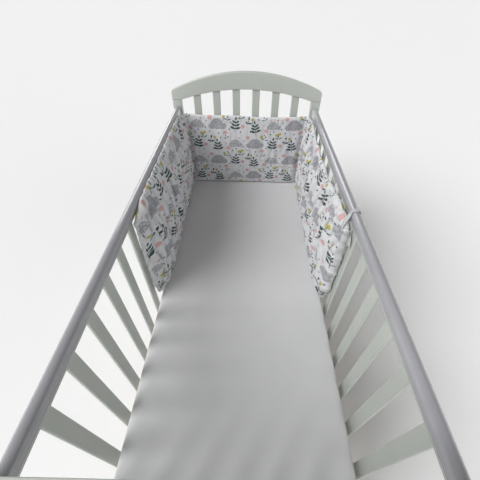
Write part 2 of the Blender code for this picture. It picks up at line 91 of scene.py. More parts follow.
class Finish:
    """A material with its node tree, and short words for the nodes that it is made of."""

    def __init__(self, name, roughness=0.5, **fixed):
        self.material = bpy.data.materials.new(name)
        self.material.use_nodes = True
        self.nodes = self.material.node_tree.nodes
        self.links = self.material.node_tree.links
        self.shader = self.nodes["Principled BSDF"]
        self.set(self.shader, roughness=roughness, **fixed)

    def set(self, node, **values):
        """Sets inputs by their names, written in small letters with _ for a space."""
        names = {socket.name.lower().replace(" ", "_"): socket for socket in reversed(node.inputs)
                 if socket.enabled}
        for name, value in values.items():
            self.give(names[name], value)

    def give(self, socket, value):
        if isinstance(value, bpy.types.NodeSocket):
            self.links.new(value, socket)
        elif isinstance(value, tuple) and len(value) == 3 and socket.type == "RGBA":
            socket.default_value = (*value, 1.0)
        else:
            socket.default_value = value

    def add(self, kind, out=0, settings=None, **values):
        """A new node; gives back one of its outputs."""
        node = self.nodes.new(kind)
        for name, value in (settings or {}).items():
            setattr(node, name, value)
        self.set(node, **values)
        return node.outputs[out]

    def sum(self, operation, *terms, kind="ShaderNodeMath"):
        """One sum on plain numbers, or on vectors where kind says so."""
        node = self.nodes.new(kind)
        node.operation = operation
        for socket, term in zip(node.inputs, terms):
            self.give(socket, term)
        return node.outputs[0]

    def parts(self, vector):
        """The x, y and z of a vector, as three outputs."""
        node = self.nodes.new("ShaderNodeSeparateXYZ")
        self.give(node.inputs[0], vector)
        return node.outputs

    def crib_place(self):
        """The place in the crib, in metres: the solids' own coordinates."""
        return self.add("ShaderNodeTexCoord", out=3)

    def stretch(self, point, scale):
        return self.add("ShaderNodeMapping", vector=point, scale=scale)

    def mix(self, share, low, high, how="MIX"):
        node = self.nodes.new("ShaderNodeMix")
        node.data_type = "RGBA"
        node.blend_type = how
        self.give(node.inputs[0], share)
        self.give(node.inputs[6], low)
        self.give(node.inputs[7], high)
        return node.outputs[2]

    def ramp(self, value, low, high):
        """0 up to low, 1 from high on, and a soft rise between them."""
        return self.add("ShaderNodeMapRange", settings={"interpolation_type": "SMOOTHSTEP"},
                        value=value, from_min=low, from_max=high)

    def noise(self, point, scale, detail=2.0, out=0):
        return self.add("ShaderNodeTexNoise", out=out, vector=point, scale=scale, detail=detail)

    def threads(self, point, across, scale, distortion=0.0):
        """Fine even ribs, as threads make them."""
        return self.add("ShaderNodeTexWave", settings={"bands_direction": across}, out=1, vector=point,
                        scale=scale, distortion=distortion)

    def bump(self, height, distance, strength=1.0, normal=None):
        extra = {"normal": normal} if normal else {}
        return self.add("ShaderNodeBump", height=height, distance=distance, strength=strength, **extra)


def wear(piece, finish):
    """Gives a piece, or a solid of the crib, its finish."""
    if not piece.data.materials:
        piece.data.materials.append(finish.material)
    for row in piece.material_slots:
        row.material = finish.material


# %% [markdown]
# The tapes come next, because a free end of tape is a cord: its length and route are facts, and not looks.
# Each route repeats the points that the tape's solid was drawn through, and the way that its flat side looks
# there. A smooth curve runs through them, so the tape bends like cloth and not like wire.

# %% The tapes' routes
TIE_RIGHT = [
    # x, y, z, face_x, face_y, face_z, knot
    (0.2856, -0.0960, 0.7850, -1.0, 0.0, 0.0, 0),
    (0.2860, -0.0930, 0.7960, -1.0, 0.0, 0.1, 0),
    (0.2892, -0.0880, 0.8100, -0.8, -0.1, 0.6, 0),
    (0.2975, -0.0805, 0.8195, -0.5, -0.2, 0.8, 0),
    (0.3062, -0.0720, 0.8268, -0.6, -0.1, 0.8, 0.3),
    (0.3122, -0.0655, 0.8312, -0.7, 0.0, 0.6, 1),
    (0.3185, -0.0638, 0.8362, -0.4, 0.0, 0.9, 0.3),
    (0.3270, -0.0625, 0.8371, 0.1, 0.0, 1.0, 0),
    (0.3350, -0.0612, 0.8344, 0.6, 0.0, 0.8, 0),
    (0.3408, -0.0600, 0.8265, 1.0, 0.0, 0.3, 0),
    (0.3415, -0.0590, 0.8150, 1.0, 0.0, 0.0, 0),
    (0.3400, -0.0582, 0.8025, 0.8, 0.0, -0.6, 0),
    (0.3330, -0.0576, 0.8000, 0.0, 0.0, -1.0, 0),
    (0.3230, -0.0580, 0.7990, 0.0, 0.1, -1.0, 0),
    (0.3160, -0.0630, 0.7955, -0.6, 0.1, -0.8, 0),
    (0.3140, -0.0740, 0.7890, -1.0, 0.0, -0.1, 0),
    (0.3136, -0.0880, 0.7810, -1.0, 0.0, 0.0, 0),
    (0.3130, -0.1010, 0.7710, -1.0, 0.0, 0.0, 0),
    (0.3112, -0.1115, 0.7580, -1.0, -0.2, 0.0, 0),
    (0.3098, -0.1165, 0.7430, -1.0, -0.3, 0.0, 0),
]
TIE_LEFT = [
    # x, y, z, face_x, face_y, face_z, knot
    (-0.3113, -0.0880, 0.7750, -1.0, 0.0, 0.0, 0),
    (-0.3116, -0.0770, 0.7745, -1.0, 0.0, 0.0, 0),
    (-0.3132, -0.0660, 0.7740, -0.9, 0.4, 0.0, 0.3),
    (-0.3142, -0.0560, 0.7735, -0.9, 0.4, 0.0, 1),
    (-0.3160, -0.0450, 0.7730, -1.0, 0.2, 0.0, 0.2),
    (-0.3168, -0.0330, 0.7725, -1.0, 0.0, 0.0, 0),
    (-0.3168, -0.0130, 0.7720, -1.0, -0.2, 0.0, 0),
    (-0.3183, -0.0062, 0.7717, -0.6, -0.8, 0.0, 0),
    (-0.3225, -0.0055, 0.7713, 0.0, -1.0, 0.0, 0),
    (-0.3267, -0.0062, 0.7710, 0.6, -0.8, 0.0, 0),
    (-0.3283, -0.0130, 0.7705, 1.0, -0.2, 0.0, 0),
    (-0.3282, -0.0230, 0.7697, 1.0, 0.0, 0.0, 0),
    (-0.3283, -0.0330, 0.7688, 1.0, 0.2, 0.0, 0),
    (-0.3267, -0.0398, 0.7680, 0.6, 0.8, 0.0, 0),
    (-0.3225, -0.0406, 0.7660, 0.0, 1.0, 0.0, 0),
    (-0.3187, -0.0425, 0.7625, -0.3, 1.0, 0.0, 0),
    (-0.3170, -0.0470, 0.7560, -0.5, 0.8, 0.0, 0),
    (-0.3164, -0.0505, 0.7450, -0.5, 0.8, 0.0, 0),
    (-0.3162, -0.0520, 0.7310, -0.5, 0.8, 0.0, 0),
]
TAPE_WIDTH = 0.0120
TAPE_THICKNESS = 0.0012


def smooth_route(rows, steps):
    """A smooth curve through the rows; every column is blended alike."""
    route = []
    for i in range(len(rows) - 1):
        before, here, there = rows[max(i - 1, 0)], rows[i], rows[i + 1]
        after = rows[min(i + 2, len(rows) - 1)]
        for k in range(steps):
            t = k / steps
            route.append(tuple(
                0.5 * (2 * q + (r - p) * t + (2 * p - 5 * q + 4 * r - s) * t * t
                       + (3 * q - p - 3 * r + s) * t ** 3)
                for p, q, r, s in zip(before, here, there, after)))
    route.append(rows[-1])
    return route


def run_of(points):
    return sum((b - a).length for a, b in zip(points, points[1:]))


for name, rows in (("right", TIE_RIGHT), ("left", TIE_LEFT)):
    line = [Vector(row[:3]) for row in smooth_route(rows, 6)]
    print(name, "tape:", round(run_of(line) * 1000), "mm")

# %% [markdown]
# A woven tape is about a millimetre thick, flat in the middle and a little thicker at its two selvedges.
# A curve with a bevel would turn its flat side at will, so the tape is lofted: the same small outline is set
# at each point of the route, square to it, and the outlines are joined with faces. It keeps a UV map in
# metres along and across, which its weave reads later.

# %% Tape and knot builders


def sections_to_mesh(name, sections, uvs=None):
    """Joins closed outlines of equal counts into one skin with two end caps."""
    builder = bmesh.new()
    layer = builder.loops.layers.uv.new("cloth") if uvs else None
    rings = [[builder.verts.new(point) for point in section] for section in sections]
    count = len(rings[0])
    builder.faces.new(rings[0])
    builder.faces.new(rings[-1][::-1])
    for i in range(len(rings) - 1):
        for k in range(count):
            n = (k + 1) % count
            face = builder.faces.new((rings[i][k], rings[i + 1][k], rings[i + 1][n], rings[i][n]))
            if layer:
                for loop, (row, column) in zip(face.loops, ((i, k), (i + 1, k), (i + 1, k + 1), (i, k + 1))):
                    loop[layer].uv = (uvs[row], column / count * 2 * TAPE_WIDTH)
    bmesh.ops.recalc_face_normals(builder, faces=builder.faces)
    mesh = bpy.data.meshes.new(name)
    builder.to_mesh(mesh)
    builder.free()
    mesh.shade_smooth()
    return place(bpy.data.objects.new(name, mesh))


def tape_outline(count=12):
    """Half widths and half thicknesses of the tape's section, as shares."""
    outline = []
    for k in range(count):
        turn = 2 * pi * (k + 0.5) / count
        across = cos(turn)
        outline.append((max(-1, min(1, across * 1.12)), sin(turn) * (0.8 + 0.35 * abs(across))))
    return outline


def sweep_tape(name, rows, steps=6):
    """A tape along its route, narrower and thicker where it is knotted, and the line that it follows."""
    route = smooth_route(rows, steps)
    points = [Vector(row[:3]) for row in route]
    sections, run = [], [0.0]
    for i, row in enumerate(route):
        ahead = (points[min(i + 1, len(points) - 1)] - points[max(i - 1, 0)]).normalized()
        across = ahead.cross(Vector(row[3:6])).normalized()
        through = across.cross(ahead)
        narrow = 1 - 0.30 * row[6]
        thick = 1 + 0.6 * row[6]
        sections.append([points[i] + across * (a * TAPE_WIDTH / 2 * narrow)
                         + through * (b * TAPE_THICKNESS / 2 * thick) for a, b in tape_outline()])
        if i:
            run.append(run[-1] + (points[i] - points[i - 1]).length)
    return sections_to_mesh(name, sections, run), points


KNOT_LENGTH = 0.0062
KNOT_SLANT = 0.0009
KNOT_BAND_HALF = (0.0017, 0.0006)
KNOT_CLOTH = 0.03


def wind_knot(name, centre, along, outward, radius_wide, radius_thick, turns=2.2):
    """A tape's knot: a narrow band wound round the tape, with a little slant to each turn."""
    along, outward = Vector(along).normalized(), Vector(outward).normalized()
    side = along.cross(outward).normalized()
    outward = side.cross(along)
    half_wide, half_thick = KNOT_BAND_HALF
    sections = []
    steps = int(turns * 20)
    for i in range(steps + 1):
        share = i / steps
        turn = 2 * pi * turns * share
        spread = 1 - 0.25 * sin(pi * share)
        middle = (Vector(centre) + side * (cos(turn) * radius_wide * spread)
                  + outward * (sin(turn) * radius_thick * spread)
                  + along * ((share - 0.5) * KNOT_LENGTH + KNOT_SLANT * sin(turn)))
        out = (side * (cos(turn) / radius_wide) + outward * (sin(turn) / radius_thick)).normalized()
        sections.append([middle + along * (a * half_wide) + out * (b * half_thick)
                         for a, b in tape_outline(8)])
    return sections_to_mesh(name, sections, [KNOT_CLOTH * i / steps for i in range(steps + 1)])


# %% Wind the tapes
tie_right, right_line = sweep_tape("tie_right_tape", TIE_RIGHT)
tie_left, left_line = sweep_tape("tie_left_tape", TIE_LEFT)
right_knot = wind_knot("tie_right_knot", (0.3120, -0.0657, 0.8310), (0.70, 0.42, 0.58), (-0.6, 0.0, 0.8),
                       0.0052, 0.0022)
left_knot = wind_knot("tie_left_knot", (-0.3141, -0.0562, 0.7735), (-0.17, 0.98, 0.0), (1.0, 0.17, 0.0),
                      0.0048, 0.0017)
for piece, node, line, knot in ((tie_right, "tie_right", right_line, right_knot),
                                (tie_left, "tie_left", left_line, left_knot)):
    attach(piece, "root")
    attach(knot, "root")
    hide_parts(node)
    print(piece.name, len(piece.data.polygons), "faces,", len(knot.data.polygons), "in its knot")

# %% [markdown]
# The bumper's body is one closed pad: a printed face towards the child, the same cloth behind, and wadding
# between them. Its shape follows a few rules. The middle layer runs in a U round the crib. The filling is
# full at half height and thin at the top, at the two stitched corner folds and at the rim, where both cloths
# meet in a seam. The tables say how the top edge rises and falls, and how far the pad leans and bellies.

# %% The bumper's measured shape
PAD_FOOT = 0.3956
PAD_FOOT_SETTLES = 0.0010
PAD_FOOT_ROUND = 0.010
PAD_SIDE_X = 0.2975
PAD_HEAD_Y = 0.5890
PAD_NEAR_Y = -0.108
PAD_CORNER_RADIUS = 0.016
PAD_FULL = 0.036
PAD_FOLD_THICKNESS = 0.009
PAD_FOLD_REACH = 0.045
PAD_END_ROUND = 0.007
PAD_TOP_ROUND_SHARE = 0.62
PAD_TOP_CORNER_DROPS = 0.010
PAD_FOOT_BACK = 0.022
# the left end's value, and then the right end's
PAD_END_THINS = (0.52, 0.12)
PAD_END_OUT = (0.0120, 0.0062)
PAD_END_TOP_OUT = (0.0055, 0.0)

TOP_EDGE = np.array([
    # along, height, out, belly, thickness
    (-1.00, 0.8130, 0.0010, 0.004, 0.023), (-0.90, 0.8165, 0.0025, 0.009, 0.020),
    (-0.72, 0.8150, 0.0035, 0.012, 0.018), (-0.55, 0.8170, 0.0035, 0.010, 0.018),
    (-0.40, 0.8140, 0.0030, 0.007, 0.018), (-0.30, 0.8050, 0.0010, 0.000, 0.016),
    (-0.20, 0.7985, -0.0010, 0.003, 0.018), (-0.05, 0.7975, -0.0010, 0.004, 0.018),
    (0.06, 0.7930, -0.0030, 0.004, 0.019), (0.18, 0.7925, -0.0030, 0.003, 0.018),
    (0.30, 0.7990, 0.0010, 0.000, 0.016), (0.36, 0.8110, 0.0030, 0.004, 0.017),
    (0.43, 0.8120, 0.0010, 0.008, 0.017), (0.49, 0.7960, -0.0010, 0.010, 0.018),
    (0.56, 0.8010, -0.0020, 0.011, 0.016), (0.61, 0.7930, -0.0040, 0.012, 0.017),
    (0.68, 0.8000, -0.0030, 0.012, 0.016), (0.73, 0.7880, -0.0030, 0.011, 0.018),
    (0.81, 0.8010, 0.0005, 0.010, 0.018), (0.89, 0.8150, 0.0015, 0.008, 0.021),
    (1.00, 0.8130, 0.0005, 0.004, 0.024),
])
CREASES = [
    # foot_along, foot, top_along, top, half_width, depth
    (-0.93, 0.42, -0.90, 0.66, 0.016, 0.0045), (-0.80, 0.40, -0.845, 0.70, 0.020, 0.0070),
    (-0.69, 0.40, -0.715, 0.76, 0.018, 0.0055), (-0.60, 0.44, -0.575, 0.80, 0.016, 0.0050),
    (-0.47, 0.40, -0.505, 0.72, 0.020, 0.0065), (-0.38, 0.45, -0.395, 0.78, 0.014, 0.0045),
    (-0.17, 0.62, -0.14, 0.79, 0.018, 0.0030), (0.09, 0.60, 0.06, 0.78, 0.020, 0.0035),
    (0.22, 0.42, 0.235, 0.70, 0.016, 0.0035), (0.38, 0.42, 0.395, 0.76, 0.015, 0.0050),
    (0.47, 0.40, 0.485, 0.78, 0.018, 0.0065), (0.58, 0.44, 0.565, 0.74, 0.016, 0.0045),
    (0.66, 0.40, 0.615, 0.79, 0.020, 0.0065), (0.76, 0.42, 0.735, 0.78, 0.018, 0.0060),
    (0.87, 0.40, 0.845, 0.70, 0.018, 0.0050), (0.95, 0.46, 0.93, 0.74, 0.014, 0.0040),
]

PAD_ARC_START = PAD_SIDE_X - PAD_CORNER_RADIUS
PAD_ARC_LENGTH = PAD_CORNER_RADIUS * pi / 2
PAD_SIDE_START = PAD_ARC_START + PAD_ARC_LENGTH
PAD_FOLD_MIDDLE = PAD_ARC_START + PAD_ARC_LENGTH / 2
PAD_HALF_LENGTH = PAD_SIDE_START + PAD_HEAD_Y - PAD_CORNER_RADIUS - PAD_NEAR_Y
print("cut length of the bumper:", round(2 * PAD_HALF_LENGTH, 3), "m")

# %% [markdown]
# Numpy works all points of the pad out at once. Each function below takes grids of numbers: along is the
# way round the U from the middle of the head, rise goes from 0 at the foot to 1 at the top edge, and face is
# 1 on the inner cloth and -1 on the outer one.

# %% Functions for the pad's surface


def smooth_step(t):
    t = np.clip(t, 0.0, 1.0)
    return t * t * (3 - 2 * t)


def past(value, start, over):
    """0 up to start, and a soft rise to 1 over the next stretch."""
    return smooth_step((value - start) / over)


def close_to(distance, reach):
    """1 at no distance, and a soft fall to 0 at the end of its reach."""
    return smooth_step(1 - distance / reach)


def read_table(column, along):
    """One column of the table, blended smoothly between its rows."""
    rows = TOP_EDGE[:, 0]
    low = np.clip(np.searchsorted(rows, along) - 1, 0, len(rows) - 2)
    share = smooth_step((along - rows[low]) / (rows[low + 1] - rows[low]))
    return TOP_EDGE[low, column] * (1 - share) + TOP_EDGE[low + 1, column] * share


def pad_line(along):
    """Plan of the middle layer: its points, and the way that faces into the crib."""
    sign = np.where(along < 0, -1.0, 1.0)
    run = np.abs(along)
    turn = np.clip((run - PAD_ARC_START) / PAD_CORNER_RADIUS, 0, pi / 2)
    x = np.where(run <= PAD_ARC_START, run, PAD_ARC_START + np.sin(turn) * PAD_CORNER_RADIUS)
    y = PAD_HEAD_Y - PAD_CORNER_RADIUS + np.cos(turn) * PAD_CORNER_RADIUS
    y = y - np.maximum(run - PAD_SIDE_START, 0)
    flat = np.zeros_like(x)
    return (np.stack([sign * x, y, flat], -1),
            np.stack([-sign * np.sin(turn), -np.cos(turn), flat], -1))


def crease_depth(along, height, runs_on=0.15, fades=0.35):
    """How far the sewn-in creases press into the inner face."""
    depth = np.zeros_like(along)
    for foot_along, foot, top_along, top, half_width, deep in CREASES:
        rise = (height - foot) / (top - foot)
        middle = foot_along + (top_along - foot_along) * rise
        off = (along - middle) / half_width
        fade = smooth_step((rise + runs_on) / fades) * smooth_step((1 + runs_on - rise) / fades)
        depth += deep * fade * (1 / (1 + off ** 4) - 0.35 / (1 + (np.abs(off) - 1.9) ** 4))
    return depth


def rim_round(distance, radius):
    """0 on the seam at the rim, 1 where the pad has its own thickness."""
    return np.sqrt(np.maximum(0.0, 1 - (1 - np.minimum(distance / radius, 1.0)) ** 2))


def pad_point(along, rise, face):
    """The points of one face of the pad: its middle layer, and half its thickness to that side."""
    run = np.abs(along)
    sign = np.where(along < 0, -1.0, 1.0)
    left = along < 0
    top, out, belly, top_thickness = (read_table(k, along) for k in (1, 2, 3, 4))
    foot = PAD_FOOT - PAD_FOOT_SETTLES * past(run, PAD_SIDE_START, 0.03)
    height = foot + (top - foot) * rise
    to_end = PAD_HALF_LENGTH - run
    back = PAD_FOOT_BACK * (1 - past(rise, 0.0, 0.22)) * close_to(to_end, 0.16)
    centre, inward = pad_line(sign * (run - back))
    height = height - PAD_TOP_CORNER_DROPS * past(rise, 0.93, 0.07) * close_to(to_end, 0.05)

    full = PAD_FULL + (top_thickness - PAD_FULL) * past(rise, 0.62, 0.36)
    fold = past(np.abs(run - PAD_FOLD_MIDDLE), 0.0, PAD_FOLD_REACH)
    thickness = PAD_FOLD_THICKNESS + (full - PAD_FOLD_THICKNESS) * fold
    near_end = close_to(to_end, 0.06)
    thickness = thickness * (1 - np.where(left, *PAD_END_THINS) * near_end)
    rim = rim_round((1 - rise) * (top - foot), thickness * PAD_TOP_ROUND_SHARE)
    rim = rim * rim_round(rise * (top - foot), PAD_FOOT_ROUND)
    rim = rim * rim_round(to_end, PAD_END_ROUND)
    offset = thickness / 2 * rim * face + belly * np.sin(pi * np.minimum(rise / 0.9, 1.0)) * fold
    low_out, top_out = np.where(left, *PAD_END_OUT), np.where(left, *PAD_END_TOP_OUT)
    end_out = low_out + (top_out - low_out) * past(rise, 0.6, 0.25)
    offset = offset - out * past(rise, 0.5, 0.5) - end_out * near_end
    if face > 0:
        offset = offset - crease_depth(along, height) * rim * fold
    point = centre + inward * offset[..., None]
    point[..., 2] += height
    return point


# %% [markdown]
# The pad is drawn as a regular grid on each face, and the two grids share their rim, so the skin is closed.
# A regular grid keeps a UV map in metres of cloth, which the print and the weave need, and it takes a cloth
# simulation well. Its lines stand closer where the shape turns fast: at the ends, the folds and the rim.

# %% Sew the two faces together


def spaced(length, rim, rim_steps, pitch):
    """Stations from 0 to length, close together near both ends."""
    near = [rim * (1 - cos(pi / 2 * k / rim_steps)) for k in range(rim_steps)]
    inner = length - 2 * rim
    count = max(2, round(inner / pitch))
    middle = [rim + inner * k / count for k in range(count + 1)]
    return near + middle + [length - value for value in near[::-1]]


CLOTH_PITCH = 0.0098
CLOTH_TALL = 0.41
OUTER_CLOTH_UP = 3.0
side_length = PAD_HALF_LENGTH - PAD_SIDE_START
side_stations = [value - PAD_HALF_LENGTH for value in spaced(side_length, 0.012, 4, CLOTH_PITCH)]
fold_stations = [-PAD_SIDE_START + PAD_ARC_LENGTH * k / 5 for k in range(1, 5)]
head_stations = [value - PAD_ARC_START for value in spaced(2 * PAD_ARC_START, 0.012, 3, CLOTH_PITCH)]
left_stations = side_stations + fold_stations
stations = np.array(left_stations + head_stations + [-value for value in left_stations[::-1]])
rises = np.array([value / CLOTH_TALL for value in spaced(CLOTH_TALL, 0.010, 3, CLOTH_PITCH)])


def build_pad(name):
    """The closed skin, with a UV map: metres along the foot, and metres of height."""
    along, rise = np.meshgrid(stations, rises, indexing="ij")
    wide, tall = along.shape
    inner = pad_point(along, rise, 1)
    outer = pad_point(along, rise, -1)
    inside = np.zeros((wide, tall), bool)
    inside[1:-1, 1:-1] = True
    number = np.stack([np.arange(wide * tall).reshape(wide, tall)] * 2)
    number[1][inside] = wide * tall + np.arange(inside.sum())
    points = np.concatenate([inner.reshape(-1, 3), outer[inside]])
    quads, cloth = [], []
    height = rise * CLOTH_TALL
    for face in (0, 1):
        for i in range(wide - 1):
            for j in range(tall - 1):
                corners = [(i, j), (i + 1, j), (i + 1, j + 1), (i, j + 1)]
                if face == 1:
                    corners.reverse()
                quads.append([number[face][c] for c in corners])
                cloth += [(along[c], height[c] + face * OUTER_CLOTH_UP) for c in corners]
    mesh = bpy.data.meshes.new(name)
    mesh.from_pydata(points.tolist(), [], [[int(k) for k in quad] for quad in quads])
    layer = mesh.uv_layers.new(name="cloth")
    layer.data.foreach_set("uv", np.array(cloth, dtype=np.float32).ravel())
    mesh.shade_smooth()
    return place(bpy.data.objects.new(name, mesh))


bumper = build_pad("bumper_cover")
print("bumper:", len(stations), "by", len(rises), "lines,", len(bumper.data.polygons), "faces")
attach(bumper, "root")
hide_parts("bumper")

# %% [markdown]
# Wadding pushes a cover out between its seams, and the cover is always cut a little larger than its seams
# hold, so it buckles into small creases. Blender's cloth simulation gives both: pressure fills the skin, and
# cloth that is two hundredths too large buckles. The rim and the two corner folds are sewn, so they are held,
# and the wadding ties every other point softly to its place. It runs for 20 frames. The creases are then
# drawn out upwards, as they run on a pad that stands on its edge, and each move is eased to a few
# millimetres, because the crib's slats stand close behind. No modifier is left on the mesh.

# %% Helpers for points on the cloth
FOLD_SEAM_HALF = 0.008


def read_points(mesh):
    points = np.empty(len(mesh.vertices) * 3, dtype=np.float32)
    mesh.vertices.foreach_get("co", points)
    return points.reshape(-1, 3).astype(float)


def write_points(mesh, points):
    mesh.vertices.foreach_set("co", points.astype(np.float32).ravel())
    mesh.update()


def cloth_places(mesh):
    """For each point: metres along, metres of height, and whether it is on the inner face."""
    corner_points = np.empty(len(mesh.loops), dtype=np.int32)
    mesh.loops.foreach_get("vertex_index", corner_points)
    uv = np.empty(len(mesh.loops) * 2, dtype=np.float32)
    mesh.uv_layers["cloth"].data.foreach_get("uv", uv)
    places = np.zeros((len(mesh.vertices), 2))
    places[corner_points] = uv.reshape(-1, 2)
    inner = places[:, 1] < OUTER_CLOTH_UP / 2
    return places[:, 0], places[:, 1] - np.where(inner, 0, OUTER_CLOTH_UP), inner


def to_seam(along, height):
    """Metres of cloth to the nearest seam: the rim or a corner fold."""
    run = np.abs(along)
    return np.minimum.reduce([height, CLOTH_TALL - height, PAD_HALF_LENGTH - run,
                              np.maximum(np.abs(run - PAD_FOLD_MIDDLE) - FOLD_SEAM_HALF, 0)])


def ease(length, limit):
    """Keeps a length as it is while it is short, and bends it towards its limit."""
    return limit * np.tanh(length / limit)


# %% Fill the cover
WADDING_HOLDS = 0.25
HEAD_PANEL_FILLS = 0.45
# the furthest that the inner cloth moves, and then the outer one
INTO_CRIB = (0.0065, 0.0030)
TO_SLATS = (0.0055, 0.0006)


def draw_upright(moves, rounds=7):
    """Evens out a grid of moves, mostly upwards, which draws short creases out into upright ones."""
    moves[1:-1] = (moves[:-2] + 2 * moves[1:-1] + moves[2:]) / 4
    for _ in range(rounds):
        moves[:, 1:-1] = (moves[:, :-2] + 2 * moves[:, 1:-1] + moves[:, 2:]) / 4
    return moves


def fill_with_wadding(piece, frames=20, gain=2.6):
    """Runs the cloth simulation on the pad, and keeps its creases as moves in or out of the crib."""
    along, height, inner = cloth_places(piece.data)
    rest = read_points(piece.data)
    sewn = to_seam(along, height) < 0.006
    held = piece.vertex_groups.new(name="sewn")
    held.add(np.flatnonzero(sewn).tolist(), 1.0, "REPLACE")
    held.add(np.flatnonzero(~sewn).tolist(), WADDING_HOLDS, "REPLACE")
    wadding = piece.modifiers.new("wadding", "CLOTH")
    settings = wadding.settings
    settings.quality = 5
    settings.mass = 0.2
    settings.tension_stiffness = settings.compression_stiffness = 25
    settings.shear_stiffness = 4
    settings.bending_stiffness = 0.3
    settings.vertex_group_mass = "sewn"
    settings.pin_stiffness = 1
    settings.use_pressure = True
    settings.uniform_pressure_force = 4
    settings.shrink_min = -0.02
    settings.effector_weights.gravity = 0
    wadding.collision_settings.use_collision = False
    for number in range(1, frames + 1):
        scene.frame_set(number)
    filled = read_points(piece.evaluated_get(bpy.context.evaluated_depsgraph_get()).data)
    piece.modifiers.remove(wadding)
    scene.frame_set(1)

    inward = pad_line(along)[1]
    push = ((filled - rest) * inward).sum(1)
    wide, tall = len(stations), len(rises)
    faces = push[:wide * tall].reshape(wide, tall), np.zeros((wide, tall))
    faces[1][1:-1, 1:-1] = push[wide * tall:].reshape(wide - 2, tall - 2)
    inner_push, outer_push = (gain * draw_upright(face) for face in faces)
    push = np.concatenate([inner_push.ravel(), outer_push[1:-1, 1:-1].ravel()])
    push *= np.where(np.abs(along) < PAD_ARC_START, HEAD_PANEL_FILLS, 1.0) * ~sewn
    into_crib = ease(np.maximum(push, 0), np.where(inner, *INTO_CRIB))
    to_slats = ease(np.maximum(-push, 0), np.where(inner, *TO_SLATS))
    write_points(piece.data, rest + inward * (into_crib - to_slats)[:, None])
    print("wadding moves the inner face by", [round(1000 * float(np.percentile(push[inner], share)), 1)
                                              for share in (5, 50, 95)], "mm")


fill_with_wadding(bumper)

# %% [markdown]
# A washed cotton cover also has many fine crinkles, where the filling has shrunk more than the cloth. They
# are one or two centimetres wide, so they have to be in the mesh, and one subdivision makes room for them.
# Each is a groove with a soft ridge on either side. It also gathers the cloth, which bends the print.

# %% One crinkle


def subdivide_once(piece):
    finer = piece.modifiers.new("finer", "SUBSURF")
    finer.levels = finer.render_levels = 1
    graph = bpy.context.evaluated_depsgraph_get()
    mesh = bpy.data.meshes.new_from_object(piece.evaluated_get(graph), preserve_all_data_layers=True,
                                           depsgraph=graph)
    piece.modifiers.clear()
    piece.data = mesh


def one_crinkle(along, height, start, end, bend, half_width, fade_in=0.35, ridge_off=1.8):
    """A groove from start to end with a soft ridge on either side, and how it gathers the cloth."""
    run, rise = end[0] - start[0], end[1] - start[1]
    length = np.hypot(run, rise)
    onward = ((along - start[0]) * run + (height - start[1]) * rise) / length ** 2
    aside = ((along - start[0]) * rise - (height - start[1]) * run) / length
    off = (aside - bend * np.sin(onward * 5)) / half_width
    fade = smooth_step(onward / fade_in) * smooth_step((1 - onward) / fade_in)
    bowl = np.exp(-off ** 2)
    ridges = np.exp(-(off - ridge_off) ** 2) + np.exp(-(off + ridge_off) ** 2)
    return fade * (bowl - 0.5 * ridges), -fade * off * bowl * rise / length


# %% [markdown]
# Four kinds are drawn: long upright ones, short puckers along the sewn top and foot, puckers at the two ends,
# and a fan of folds that each tie pulls from its top corner. Their places are random with a fixed seed, so
# every run makes the same pad. The head panel is stretched between the corners, so it has faint ones only.

# %% Draw the crinkles
HEAD_PANEL = 0.30


def long_crinkles(chance, count=210):
    lines = []
    for _ in range(count):
        middle, foot = chance.uniform(-0.97, 0.97), chance.uniform(-0.02, 0.26)
        tall = chance.uniform(0.08, 0.26)
        lean = chance.uniform(-0.11, 0.11) * tall
        bend, half_width = chance.uniform(-0.007, 0.007), chance.uniform(0.0050, 0.0105)
        depth = chance.uniform(0.0030, 0.0105) * (0.15 if abs(middle) < HEAD_PANEL else 1.0)
        lines.append(("long", (middle - lean, foot), (middle + lean, foot + tall), bend, half_width, depth))
    return lines


def seam_puckers(chance, count=170):
    """Short crinkles that run out of the top seam, and some out of the foot."""
    lines = []
    for _ in range(count):
        middle, tall = chance.uniform(-0.97, 0.97), chance.uniform(0.035, 0.095)
        foot = chance.choice((-0.3 * tall, CLOTH_TALL - 0.7 * tall, CLOTH_TALL - 0.7 * tall))
        lean, half_width = chance.uniform(-0.15, 0.15) * tall, chance.uniform(0.0040, 0.0075)
        depth = chance.uniform(0.0018, 0.0048) * (0.4 if abs(middle) < HEAD_PANEL else 1.0)
        lines.append(("seam", (middle - lean, foot), (middle + lean, foot + tall), 0.001, half_width, depth))
    return lines


def end_puckers(chance, side, count=16):
    """Short crinkles that run out of one end's seam, nearly level."""
    lines = []
    for _ in range(count):
        height, reach = chance.uniform(0.02, 0.37), chance.uniform(0.03, 0.08)
        start = side * (PAD_HALF_LENGTH + 0.3 * reach), height + chance.uniform(-0.01, 0.02)
        end = side * (PAD_HALF_LENGTH - 0.7 * reach), height
        half_width, depth = chance.uniform(0.0045, 0.0080), chance.uniform(0.0015, 0.0040)
        lines.append(("seam", start, end, 0.001, half_width, depth))
    return lines


def folds_from_tie(chance, side):
    """A fan of folds that the tie pulls out of its top corner."""
    lines = []
    corner = side * PAD_HALF_LENGTH, CLOTH_TALL - 0.012
    for turn in (18, 38, 57, 76):
        reach = chance.uniform(0.09, 0.17)
        end = corner[0] - side * reach * cos(radians(turn)), corner[1] - reach * sin(radians(turn))
        half_width, depth = chance.uniform(0.006, 0.010), chance.uniform(0.0040, 0.0070)
        lines.append(("seam", corner, end, 0.003, half_width, depth))
    return lines


def draw_crinkles(seed=11):
    chance = random.Random(seed)
    lines = long_crinkles(chance) + seam_puckers(chance)
    for side in (-1, 1):
        lines += end_puckers(chance, side) + folds_from_tie(chance, side)
    return lines


